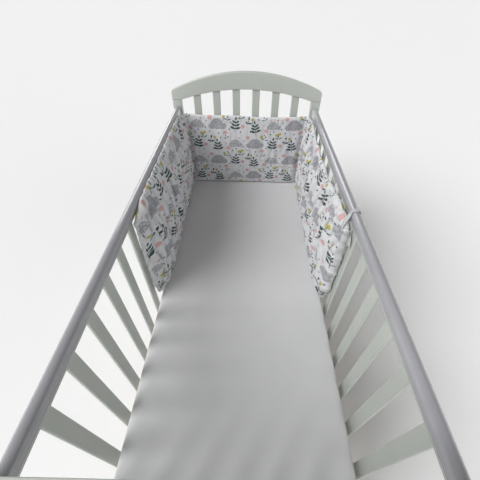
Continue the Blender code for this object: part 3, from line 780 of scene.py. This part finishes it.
# %% [markdown]
# All crinkles together are pressed into both cloths, eased to a few millimetres, and fade out at the seams. A
# gathered seam also runs a little in and out, so the top and the ends get small scallops. The left panel is
# tied up higher than the right one, so its top leans on the rail. The cloth stops two millimetres short of
# the wood everywhere. How deep a point lies in a fold is kept as an attribute, which shades the cotton later.

# %% Press the crinkles into the cover
CRINKLE_LIMITS = {
    # fades in from the seam, deepest, gain of the gathering, most gathering
    "long": (0.020, 0.0110, 1.2, 0.0045),
    "seam": (0.006, 0.0045, 1.0, 0.0020),
}
OUTER_SHARE = 0.40
SHADED_DEPTH = 0.009
SIDES_FROM = 0.33
SCALLOPS_REACH = 0.05
TIED_LIFT, TIED_LEAN = 0.0115, 0.0085

CLEAR = 0.0020
RAIL_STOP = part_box("right_top_rail")[0][0] - CLEAR
SLAT_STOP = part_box("right_slat_09")[0][0] - CLEAR
UNDER_RAIL = 0.785


def scallops(place, start):
    """A gathered seam runs a little in and out."""
    return sum(size * np.sin(2 * pi * place / pitch + start * turn)
               for pitch, size, turn in ((0.029, 0.0009, 1), (0.043, 0.0012, 2), (0.077, 0.0016, 5)))


def crinkle(piece, lines):
    """Presses the crinkles into both cloths, and notes for each point how deep it lies in a fold."""
    along, height, inner = cloth_places(piece.data)
    points = read_points(piece.data)
    depth, pull = np.zeros((2, len(points)))
    for kind, (fade_in, deepest, gain, most) in CRINKLE_LIMITS.items():
        press, gather = np.zeros((2, len(points)))
        for start, end, bend, half_width, deep in (line[1:] for line in lines if line[0] == kind):
            groove, gathered = one_crinkle(along, height, start, end, bend, half_width)
            press += deep * groove
            gather += deep * gathered
        off_seam = past(to_seam(along, height), 0.0, fade_in)
        depth = depth + ease(press, deepest) * off_seam
        pull = pull + ease(gain * gather, most) * off_seam
    move = np.where(inner, depth, -np.maximum(OUTER_SHARE * depth, 0))
    line, inward = pad_line(along)
    onward = pad_line(along + 0.001)[0] - line
    onward /= np.linalg.norm(onward, axis=1, keepdims=True)
    to_end, to_top = PAD_HALF_LENGTH - np.abs(along), CLOTH_TALL - height
    near_end = close_to(to_end, SCALLOPS_REACH)
    near_top = close_to(to_top, SCALLOPS_REACH) * past(np.abs(along), SIDES_FROM, 0.05)
    tied_up = past(-along, 0.0, 0.4) * past(to_end, 0.0, 0.12)
    pull = pull * inner + np.sign(along) * scallops(height, 0.0) * near_end
    lift = (scallops(along, 1.3) + TIED_LIFT * tied_up) * near_top
    move += TIED_LEAN * tied_up * near_top
    points += onward * pull[:, None] - inward * move[:, None] + np.array([0.0, 0.0, 1.0]) * lift[:, None]
    stop = np.where(points[:, 2] > UNDER_RAIL, RAIL_STOP, SLAT_STOP)
    points[:, 0] = np.clip(points[:, 0], -stop, stop)
    write_points(piece.data, points)
    # the fold depth is kept for painted shade: the cotton is drawn darker at the bottom of each fold
    fold = piece.data.attributes.new("fold", "FLOAT", "POINT")
    fold.data.foreach_set("value", np.clip(depth / SHADED_DEPTH, 0, 1).astype(np.float32))
    print(len(lines), "crinkles, the deepest", round(1000 * float(depth.max()), 1), "mm")


subdivide_once(bumper)
crinkle(bumper, draw_crinkles())
print("bumper, finished:", len(bumper.data.polygons), "faces")

# %% [markdown]
# Printed cotton is quickest to draw as shapes, and not as a picture. The cloth is laid out in cells of a half
# drop: each second column is moved down by half a cell, which is how fabric printers hide a repeat. In one
# cell stand grey clouds, dark twigs with pairs of leaves, light sprigs, pink dots and yellow berries. Clouds,
# dots and berries are ellipses, and leaves are pointed at both ends. All are placed in millimetres.

# %% The printed cotton's motifs, in millimetres of one cell
CELL_WIDE, CELL_TALL = 186.0, 206.0
MILLIMETRES = 1000.0


def twig(x, y, tilt, length, pairs, leaf, slender=0.42):
    """A stem that grows from x, y, with pairs of leaves and one at its tip."""
    lean = radians(tilt)
    stem = (x - sin(lean) * length / 2, y + cos(lean) * length / 2, 1.5, length / 2, tilt)
    leaves = []
    for k in range(pairs + 1):
        up = length * (0.30 + 0.70 * k / pairs)
        for side in ((-1, 1) if k < pairs else (0,)):
            turn = tilt + side * (66 - 9 * k)
            half = leaf * (1 - 0.10 * k)
            leaves.append((x - sin(lean) * up - sin(radians(turn)) * half,
                           y + cos(lean) * up + cos(radians(turn)) * half, half * slender, half, turn))
    return [stem], leaves


# x, y, half width, half height, turn in degrees
BIG_CLOUDS = [(-46, -44, 31, 29, 0), (-21, -54, 21, 18, 0), (-69, -55, 19, 16, 0)]
SMALL_CLOUDS = [(44, 58, 25, 22, 0), (63, 50, 16, 13, 0), (26, 50, 16, 13, 0)]
STEMS, LEAVES, SPRIGS = [], [], []
for place_and_size in ((-40, 2, 7, 62, 3, 14.5), (40, -88, -5, 64, 3, 14.5), (-84, 58, -12, 26, 1, 11.0)):
    stem, leaves = twig(*place_and_size)
    STEMS += stem
    LEAVES += leaves
for place_and_size in ((2, -26, -14, 13, 1, 10.0), (74, -18, 10, 15, 1, 10.0), (2, 84, 24, 10, 1, 8.5)):
    SPRIGS += twig(*place_and_size, slender=0.30)[1]
PINK_DOTS = [(8, 30, 11.0, 10.4, 0), (-8, -88, 11.5, 10.5, 20), (80, -54, 10.0, 10.6, 0),
             (-80, -10, 10.5, 9.6, 0), (62, 88, 5.0, 5.0, 0), (-4, 58, 4.6, 4.6, 0)]
BERRIES = [(62, 8, 7.6, 8.4, 14), (76, 15, 7.0, 7.8, -12), (-14, -4, 7.2, 8.0, 0), (-60, 90, 6.6, 7.4, 0)]
BERRY_STEMS = [(66, -3, 1.2, 8, -16), (71, 2, 1.2, 12, 14), (-14, -18, 1.2, 9, 0), (-60, 77, 1.2, 8, 0)]
SEEDS = [(30, 12, 3.0, 6.0, 40), (46, 26, 2.8, 5.6, -35), (-68, 24, 3.0, 6.0, 20), (14, -70, 3.0, 6.0, 50),
         (2, 6, 2.6, 5.2, -30), (82, 40, 2.8, 5.6, 12), (20, -34, 2.8, 5.6, -50), (-30, 90, 2.6, 5.2, 35),
         (68, -84, 2.8, 5.4, -25), (-84, -84, 2.6, 5.2, 60), (-40, -92, 2.8, 5.6, -20), (88, 74, 2.4, 4.8, 8)]
print(len(BIG_CLOUDS + SMALL_CLOUDS), "cloud shapes,", len(LEAVES + SPRIGS), "leaves,",
      len(PINK_DOTS + BERRIES + SEEDS), "dots, berries and seeds in a cell")

# %% Lay out the cell and cut one mask for each ink


def cell_point(finish, cloth):
    """The point of the cloth within its half-drop cell, in millimetres from the cell's middle."""
    across, up = (finish.sum("MULTIPLY", metres, MILLIMETRES) for metres in finish.parts(cloth)[:2])
    column = finish.sum("FLOOR", finish.sum("DIVIDE", across, CELL_WIDE))
    drop = finish.sum("MULTIPLY", finish.sum("FLOORED_MODULO", column, 2.0), CELL_TALL / 2)
    x = finish.sum("SUBTRACT", finish.sum("FLOORED_MODULO", across, CELL_WIDE), CELL_WIDE / 2)
    y = finish.sum("SUBTRACT", finish.sum("FLOORED_MODULO", finish.sum("ADD", up, drop), CELL_TALL),
                   CELL_TALL / 2)
    return finish.add("ShaderNodeCombineXYZ", x=x, y=y)


def ink_mask(finish, point, shapes, edge=0.10, pointed=False):
    """1 inside any of the turned ellipses, or pointed leaves, with a thin soft edge."""
    nearest = None
    for x, y, half_wide, half_tall, turn in shapes:
        placed = finish.add("ShaderNodeMapping", settings={"vector_type": "TEXTURE"}, vector=point,
                            location=(x, y, 0), rotation=(0, 0, radians(turn)),
                            scale=(half_wide, half_tall, 1))
        if pointed:
            parts = finish.parts(placed)
            size = finish.sum("MULTIPLY_ADD", parts[1], parts[1], finish.sum("ABSOLUTE", parts[0]))
        else:
            size = finish.add("ShaderNodeVectorMath", out=1, settings={"operation": "LENGTH"}, vector=placed)
        nearest = size if nearest is None else finish.sum("MINIMUM", nearest, size)
    return finish.sum("SUBTRACT", 1.0, finish.ramp(nearest, 1 - edge, 1 + edge))


# %% [markdown]
# Cotton is matt, with a faint sheen where its fibres catch the light. The print sinks into the threads, so
# the inks vary a little from place to place, and their outlines wobble by a fraction of a millimetre. Each
# ink is laid over the ones before it, as in printing.

# %% Printed cotton
cotton = Finish("printed_cotton", roughness=0.88, specular_ior_level=0.25, sheen_weight=0.12,
                sheen_roughness=0.5)
cloth = cotton.add("ShaderNodeUVMap", settings={"uv_map": "cloth"})
VECTORS = "ShaderNodeVectorMath"
INK_WOBBLE = 0.0016
INK_COVERS = 0.94
wobble = cotton.sum("SUBTRACT", cotton.noise(cloth, 260.0, 1.0, out=1), (0.5, 0.5, 0.5), kind=VECTORS)
wobble = cotton.add(VECTORS, settings={"operation": "SCALE"}, vector=wobble, scale=INK_WOBBLE)
cell = cell_point(cotton, cotton.sum("ADD", cloth, wobble, kind=VECTORS))

blotch = cotton.noise(cloth, 150.0, 4.0)
soft_blotch = cotton.noise(cloth, 22.0, 2.0)
ground = cotton.mix(soft_blotch, (0.625, 0.63, 0.65), (0.705, 0.71, 0.73))
grey_ink = cotton.mix(cotton.ramp(blotch, 0.34, 0.68), (0.275, 0.275, 0.30), (0.46, 0.46, 0.49))
pale_grey_ink = cotton.mix(cotton.ramp(blotch, 0.42, 0.60), (0.29, 0.29, 0.315), (0.53, 0.53, 0.555))
inks = [
    # shapes, ink, soft edge, pointed
    (SMALL_CLOUDS, pale_grey_ink, 0.06, False),
    (BIG_CLOUDS, grey_ink, 0.04, False),
    (PINK_DOTS, (0.60, 0.36, 0.35), 0.20, False),
    (STEMS, (0.150, 0.070, 0.080), 0.25, False),
    (BERRY_STEMS, (0.045, 0.085, 0.060), 0.25, False),
    (LEAVES, (0.017, 0.052, 0.048), 0.12, True),
    (SPRIGS, (0.045, 0.120, 0.105), 0.12, True),
    (BERRIES, (0.44, 0.39, 0.075), 0.10, False),
    (SEEDS, (0.022, 0.055, 0.055), 0.15, True),
]
colour = ground
for shapes, ink, edge, pointed in inks:
    print_share = cotton.sum("MULTIPLY", ink_mask(cotton, cell, shapes, edge, pointed), INK_COVERS)
    colour = cotton.mix(print_share, colour, ink)
print("printed in", len(inks), "inks")

# %% [markdown]
# The bumper's two ends show a thin edge of plain white cloth. Only the foot of the right end is printed up
# to its seam. The weave is a plain one, and tiny creases from washing lie over it, stronger on the slack
# sides than on the head panel. Both are too small for the mesh, so they are bump. The bottom of a deep fold
# is drawn a little darker, because its two sides shade each other.

# %% The plain white ends of the bumper, and its weave
PRINTED_UP_TO = 0.230
across_cloth, up_cloth, _ = cotton.parts(cloth)
from_middle = cotton.sum("ABSOLUTE", across_cloth)
end_cloth = cotton.ramp(from_middle, PAD_HALF_LENGTH - 0.0040, PAD_HALF_LENGTH - 0.0030)
above_print = cotton.ramp(up_cloth, PRINTED_UP_TO - 0.005, PRINTED_UP_TO + 0.005)
printed_foot = cotton.sum("MULTIPLY", cotton.ramp(across_cloth, 0.0, 0.1),
                          cotton.sum("SUBTRACT", 1.0, above_print))
end_cloth = cotton.sum("MULTIPLY", end_cloth, cotton.sum("SUBTRACT", 1.0, printed_foot))
colour = cotton.mix(end_cloth, colour, (0.56, 0.565, 0.57))
# painted shade: the fold attribute darkens the bottom of each deep fold
fold = cotton.add("ShaderNodeAttribute", out=2, settings={"attribute_name": "fold"})
colour = cotton.mix(cotton.sum("MULTIPLY", fold, 0.85), colour, (0.48, 0.48, 0.52), how="MULTIPLY")
cotton.set(cotton.shader, base_color=colour)

warp, weft = (cotton.threads(cloth, across, 420.0, 0.6) for across in "XY")
weave = cotton.sum("ADD", warp, weft)
upright = cotton.stretch(cloth, (1.0, 0.36, 1.0))
creases = cotton.sum("ABSOLUTE", cotton.sum("SUBTRACT", cotton.noise(upright, 46.0, 2.0), 0.5))
on_sides = cotton.add("ShaderNodeMapRange", value=from_middle, from_min=0.26, from_max=0.33, to_min=0.35)
relief = cotton.bump(cotton.sum("MULTIPLY", creases, on_sides), 0.0095, 0.8)
relief = cotton.bump(cotton.noise(upright, 120.0, 3.0), 0.0016, 0.8, relief)
cotton.set(cotton.shader, normal=cotton.bump(weave, 0.00008, 0.5, relief))
wear(bumper, cotton)
print("printed cotton:", len(cotton.nodes), "nodes")

# %% [markdown]
# The tapes are cut from white cotton twill. Fine slanted ribs run across them.

# %% White twill tape
twill = Finish("tape_twill", roughness=0.85, specular_ior_level=0.25, sheen_weight=0.1)
tape_cloth = twill.add("ShaderNodeUVMap", settings={"uv_map": "cloth"})
ribs = twill.threads(tape_cloth, "DIAGONAL", 330.0, 0.4)
twill.set(twill.shader, base_color=twill.mix(ribs, (0.43, 0.435, 0.445), (0.56, 0.565, 0.565)),
          normal=twill.bump(ribs, 0.00015, 0.7))
for piece in (tie_right, tie_left, right_knot, left_knot):
    wear(piece, twill)
    print(piece.name, "wears", twill.material.name)

# %% [markdown]
# The crib is painted in an off-white satin with a touch of green. Brushed or sprayed paint on beech follows
# the grain a little, and its tone varies softly from place to place. The finish reads plain object
# coordinates, so one paint serves every solid.

# %% Satin paint
paint = Finish("satin_paint", roughness=0.34, specular_ior_level=0.45, coat_weight=0.12, coat_roughness=0.2)
grain = paint.noise(paint.stretch(paint.crib_place(), (1.0, 1.0, 0.06)), 160.0, 4.0)
patchy = paint.noise(paint.crib_place(), 9.0, 3.0)
tint = paint.mix(patchy, (0.475, 0.505, 0.46), (0.52, 0.545, 0.505))
tint = paint.mix(paint.sum("MULTIPLY", grain, 0.25), tint, (0.58, 0.60, 0.56))
paint.set(paint.shader, base_color=tint, normal=paint.bump(grain, 0.0004, 0.35))
print("satin paint:", len(paint.nodes), "nodes")

# %% [markdown]
# Each side's top rail has a grey teething cover: smooth and glossy, and clipped on above a fine groove. A
# clear coat gives it sharp streaks, and a bevel node rounds the light on its edges. Below the groove the rail
# shows the crib's own paint.

# %% Gloss rail cover over its painted foot
gloss = Finish("rail_gloss", roughness=0.20, specular_ior_level=0.7, coat_weight=1.0, coat_roughness=0.05)
GROOVE_HEIGHT = 0.8122
above_groove = gloss.sum("SUBTRACT", gloss.parts(gloss.crib_place())[2], GROOVE_HEIGHT)
cover = gloss.mix(gloss.noise(gloss.crib_place(), 14.0, 3.0), (0.345, 0.345, 0.37), (0.395, 0.395, 0.42))
above_foot = gloss.ramp(above_groove, -0.0004, 0.0004)
groove = gloss.sum("SUBTRACT", gloss.ramp(above_groove, -0.0010, -0.0003),
                   gloss.ramp(above_groove, 0.0002, 0.0009))
rail_tint = gloss.mix(above_foot, (0.44, 0.465, 0.43), cover)
rail_tint = gloss.mix(gloss.sum("MULTIPLY", groove, 0.8), rail_tint, (0.16, 0.16, 0.17))
rounded = gloss.add("ShaderNodeBevel", settings={"samples": 6}, radius=0.003)
gloss.set(gloss.shader, base_color=rail_tint,
          normal=gloss.bump(gloss.sum("SUBTRACT", 1.0, groove), 0.0008, 0.6, rounded))
print("the rail's groove is", round(1000 * GROOVE_HEIGHT), "mm up")

# %% [markdown]
# The mattress lies on a plain board of beech, whose grain runs along the crib. Noise that is drawn out along
# one axis makes such a grain. Each solid of the crib then gets the finish that its name calls for.

# %% Beech board under the mattress
board = Finish("beech_board", roughness=0.6)
board_grain = board.noise(board.stretch(board.crib_place(), (1.0, 0.05, 1.0)), 120.0, 5.0)
board.set(board.shader, base_color=board.mix(board_grain, (0.44, 0.33, 0.22), (0.62, 0.50, 0.36)),
          normal=board.bump(board_grain, 0.0005, 0.4))

for name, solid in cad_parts.items():
    if name.endswith("_top_rail"):
        wear(solid, gloss)
    elif name == "mattress_base":
        wear(solid, board)
    elif name not in ("bumper", "mattress", "tie_left", "tie_right"):
        wear(solid, paint)
print("painted", sum(1 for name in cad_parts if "slat" in name), "slats")

# %% [markdown]
# The mattress wears a plain white fitted cover. A foam block has soft vertical corners and a welt along its
# upper and lower edge. It is built as stacked rounded outlines, so its top can sink a little in the middle
# and its sides can bow in between the welts.

# %% Mattress
MATTRESS_HALF = (0.2996, 0.5996)
MATTRESS_LOW, MATTRESS_HIGH = 0.2958, 0.3948
MATTRESS_CORNER = 0.03
SIDE_BOW = 0.0022


def rounded_plan(half_x, half_y, radius, corner_steps=8, side_steps=(24, 46)):
    """Points of a rectangle with round corners, evenly spread, counter-clockwise."""
    points = []
    corners = ((1, -1, -90), (1, 1, 0), (-1, 1, 90), (-1, -1, 180))
    for k, (sx, sy, start) in enumerate(corners):
        cx, cy = sx * (half_x - radius), sy * (half_y - radius)
        for i in range(corner_steps + 1):
            angle = radians(start + 90 * i / corner_steps)
            points.append((cx + radius * cos(angle), cy + radius * sin(angle)))
        nx, ny, _ = corners[(k + 1) % 4]
        angle = radians(start + 90)
        end = (nx * (half_x - radius) + radius * cos(angle), ny * (half_y - radius) + radius * sin(angle))
        count = side_steps[(k + 1) % 2]
        first = points[-1]
        points += [(first[0] + (end[0] - first[0]) * i / count, first[1] + (end[1] - first[1]) * i / count)
                   for i in range(1, count)]
    return points


def build_mattress(name):
    """Rings from the middle of the underside, up the sides, to the middle of the top."""
    outer = rounded_plan(*MATTRESS_HALF, MATTRESS_CORNER)

    def ring(share_x, share_y, height):
        return [Vector((x * share_x, y * share_y, height)) for x, y in outer]

    # how far in, and how far up
    edge = [(0.010, 0.000), (0.004, 0.0015), (0.001, 0.005), (0.0, 0.009)]
    side = [(0.0012 + SIDE_BOW * sin(pi * k / 10), 0.012 + 0.075 * k / 10) for k in range(11)]
    upper = [(inset, MATTRESS_HIGH - MATTRESS_LOW - rise) for inset, rise in edge[::-1]]
    around = [ring(1 - inset / MATTRESS_HALF[0], 1 - inset / MATTRESS_HALF[1], MATTRESS_LOW + rise)
              for inset, rise in edge + side + upper]
    # the share of the plan, and how much higher than the middle
    flat = [(0.93, 0.0006), (0.82, 0.0004), (0.66, 0.0002), (0.48, 0.0001), (0.30, 0.0), (0.14, 0.0)]
    top = [ring(share, 1 - (1 - share) * 0.92, MATTRESS_HIGH + higher) for share, higher in flat]
    bottom = [ring(share, 1 - (1 - share) * 0.92, MATTRESS_LOW) for share, _ in flat[::-1]]
    return sections_to_mesh(name, bottom + around + top)


mattress = build_mattress("mattress_cover")
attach(mattress, "root")
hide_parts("mattress")
print("mattress:", len(mattress.data.polygons), "faces")

# %% [markdown]
# A welt is a thin cord that is sewn into a seam. A curve with a round bevel is the quickest way to one. It
# wears the same fitted cover as the mattress, which is a fine knit, slightly uneven.

# %% Welt along the mattress's edges
WELT_RADIUS = 0.0022
WELT_CORNER = 0.028
WELT_FROM_EDGE = 0.0085


def welt(name, height):
    """A thin cord sewn into the seam all round."""
    plan = rounded_plan(MATTRESS_HALF[0] - WELT_RADIUS, MATTRESS_HALF[1] - WELT_RADIUS, WELT_CORNER)
    curve = bpy.data.curves.new(name, "CURVE")
    curve.dimensions = "3D"
    curve.bevel_depth = WELT_RADIUS
    curve.bevel_resolution = 2
    line = curve.splines.new("POLY")
    line.points.add(len(plan) - 1)
    for point, (x, y) in zip(line.points, plan):
        point.co = (x, y, height, 1)
    line.use_cyclic_u = True
    return place(bpy.data.objects.new(name, curve))


welts = [welt("mattress_welt_top", MATTRESS_HIGH - WELT_FROM_EDGE),
         welt("mattress_welt_foot", MATTRESS_LOW + WELT_FROM_EDGE)]
sheet = Finish("ticking_white", roughness=0.85, specular_ior_level=0.25, sheen_weight=0.1)
sheet_noise = sheet.noise(sheet.crib_place(), 6.0, 3.0)
knit = sheet.threads(sheet.crib_place(), "X", 260.0)
sheet.set(sheet.shader, base_color=sheet.mix(sheet_noise, (0.62, 0.62, 0.63), (0.68, 0.68, 0.685)),
          normal=sheet.bump(sheet_noise, 0.004, 0.6, sheet.bump(knit, 0.0001, 0.4)))
for piece in (mattress, *welts):
    wear(piece, sheet)
for piece in welts:
    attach(piece, "root")
    print(piece.name, "through", len(piece.data.splines[0].points), "points")

# %% [markdown]
# The floor is one pale sheet, wide enough to fill the whole view. The photograph has a studio's light: a
# broad key light on the left, a weak one in front and a weak low one on the right, which together throw a
# soft shadow to the right. Each is a sun with a wide disc, because a sun lights the whole floor evenly. The
# sky stands in for the room: pale walls near the horizon, a dim ceiling, and one soft bright window that
# gives the glossy rails their streaks.

# %% Floor and lights
FLOOR_HALF = 40
SUN_DISC = radians(40)

floor_mesh = bpy.data.meshes.new("floor")
floor_corners = [(x * FLOOR_HALF, y * FLOOR_HALF, 0) for x, y in ((-1, -1), (1, -1), (1, 1), (-1, 1))]
floor_mesh.from_pydata(floor_corners, [], [(0, 1, 2, 3)])
floor = place(bpy.data.objects.new("floor", floor_mesh))
pale = Finish("pale_floor", roughness=0.9, base_color=(0.94, 0.94, 0.94), specular_ior_level=0.1)
wear(floor, pale)

LIGHTS = [
    # name, strength, the way to it
    ("key_light", 2.62, (-0.92, -0.52, 1.00)),
    ("front_light", 0.24, (0.00, -0.60, 1.00)),
    ("right_light", 0.43, (1.00, -0.60, 0.65)),
]
for name, strength, towards in LIGHTS:
    lamp = bpy.data.lights.new(name, "SUN")
    lamp.energy = strength
    lamp.angle = SUN_DISC
    lit = place(bpy.data.objects.new(name, lamp))
    lit.rotation_euler = Vector(towards).to_track_quat("Z", "Y").to_euler()
    print(name, "of strength", strength)

# %% Pale walls, a dim ceiling and one window
WALLS, CEILING = 0.76, 0.07
CEILING_STEP = (0.06, 0.48)
WINDOW = 3.6
WINDOW_STEP = (0.960, 0.978)
WINDOW_TOWARDS = Vector((-0.42, 0.76, 0.50)).normalized()

sky = bpy.data.worlds.new("studio_sky")
sky.use_nodes = True
nodes, links = sky.node_tree.nodes, sky.node_tree.links
direction = nodes.new("ShaderNodeTexCoord").outputs["Generated"]


def glow(measure, low, high, darkest, brightest):
    """Turns a measure of the direction into brightness, with a soft step."""
    step = nodes.new("ShaderNodeMapRange")
    step.interpolation_type = "SMOOTHSTEP"
    for socket, value in zip(("From Min", "From Max", "To Min", "To Max"), (low, high, darkest, brightest)):
        step.inputs[socket].default_value = value
    links.new(measure, step.inputs["Value"])
    return step.outputs["Result"]


upward = nodes.new("ShaderNodeSeparateXYZ")
links.new(direction, upward.inputs[0])
facing = nodes.new("ShaderNodeVectorMath")
facing.operation = "DOT_PRODUCT"
facing.inputs[1].default_value = WINDOW_TOWARDS
links.new(direction, facing.inputs[0])
total = nodes.new("ShaderNodeMath")
links.new(glow(upward.outputs["Z"], *CEILING_STEP, WALLS, CEILING), total.inputs[0])
links.new(glow(facing.outputs["Value"], *WINDOW_STEP, 0.0, WINDOW), total.inputs[1])
links.new(total.outputs[0], nodes["Background"].inputs["Strength"])
nodes["Background"].inputs["Color"].default_value = (1.0, 1.0, 1.0, 1.0)
scene.world = sky
print("walls", WALLS, "and ceiling", CEILING, "with a window of", WINDOW)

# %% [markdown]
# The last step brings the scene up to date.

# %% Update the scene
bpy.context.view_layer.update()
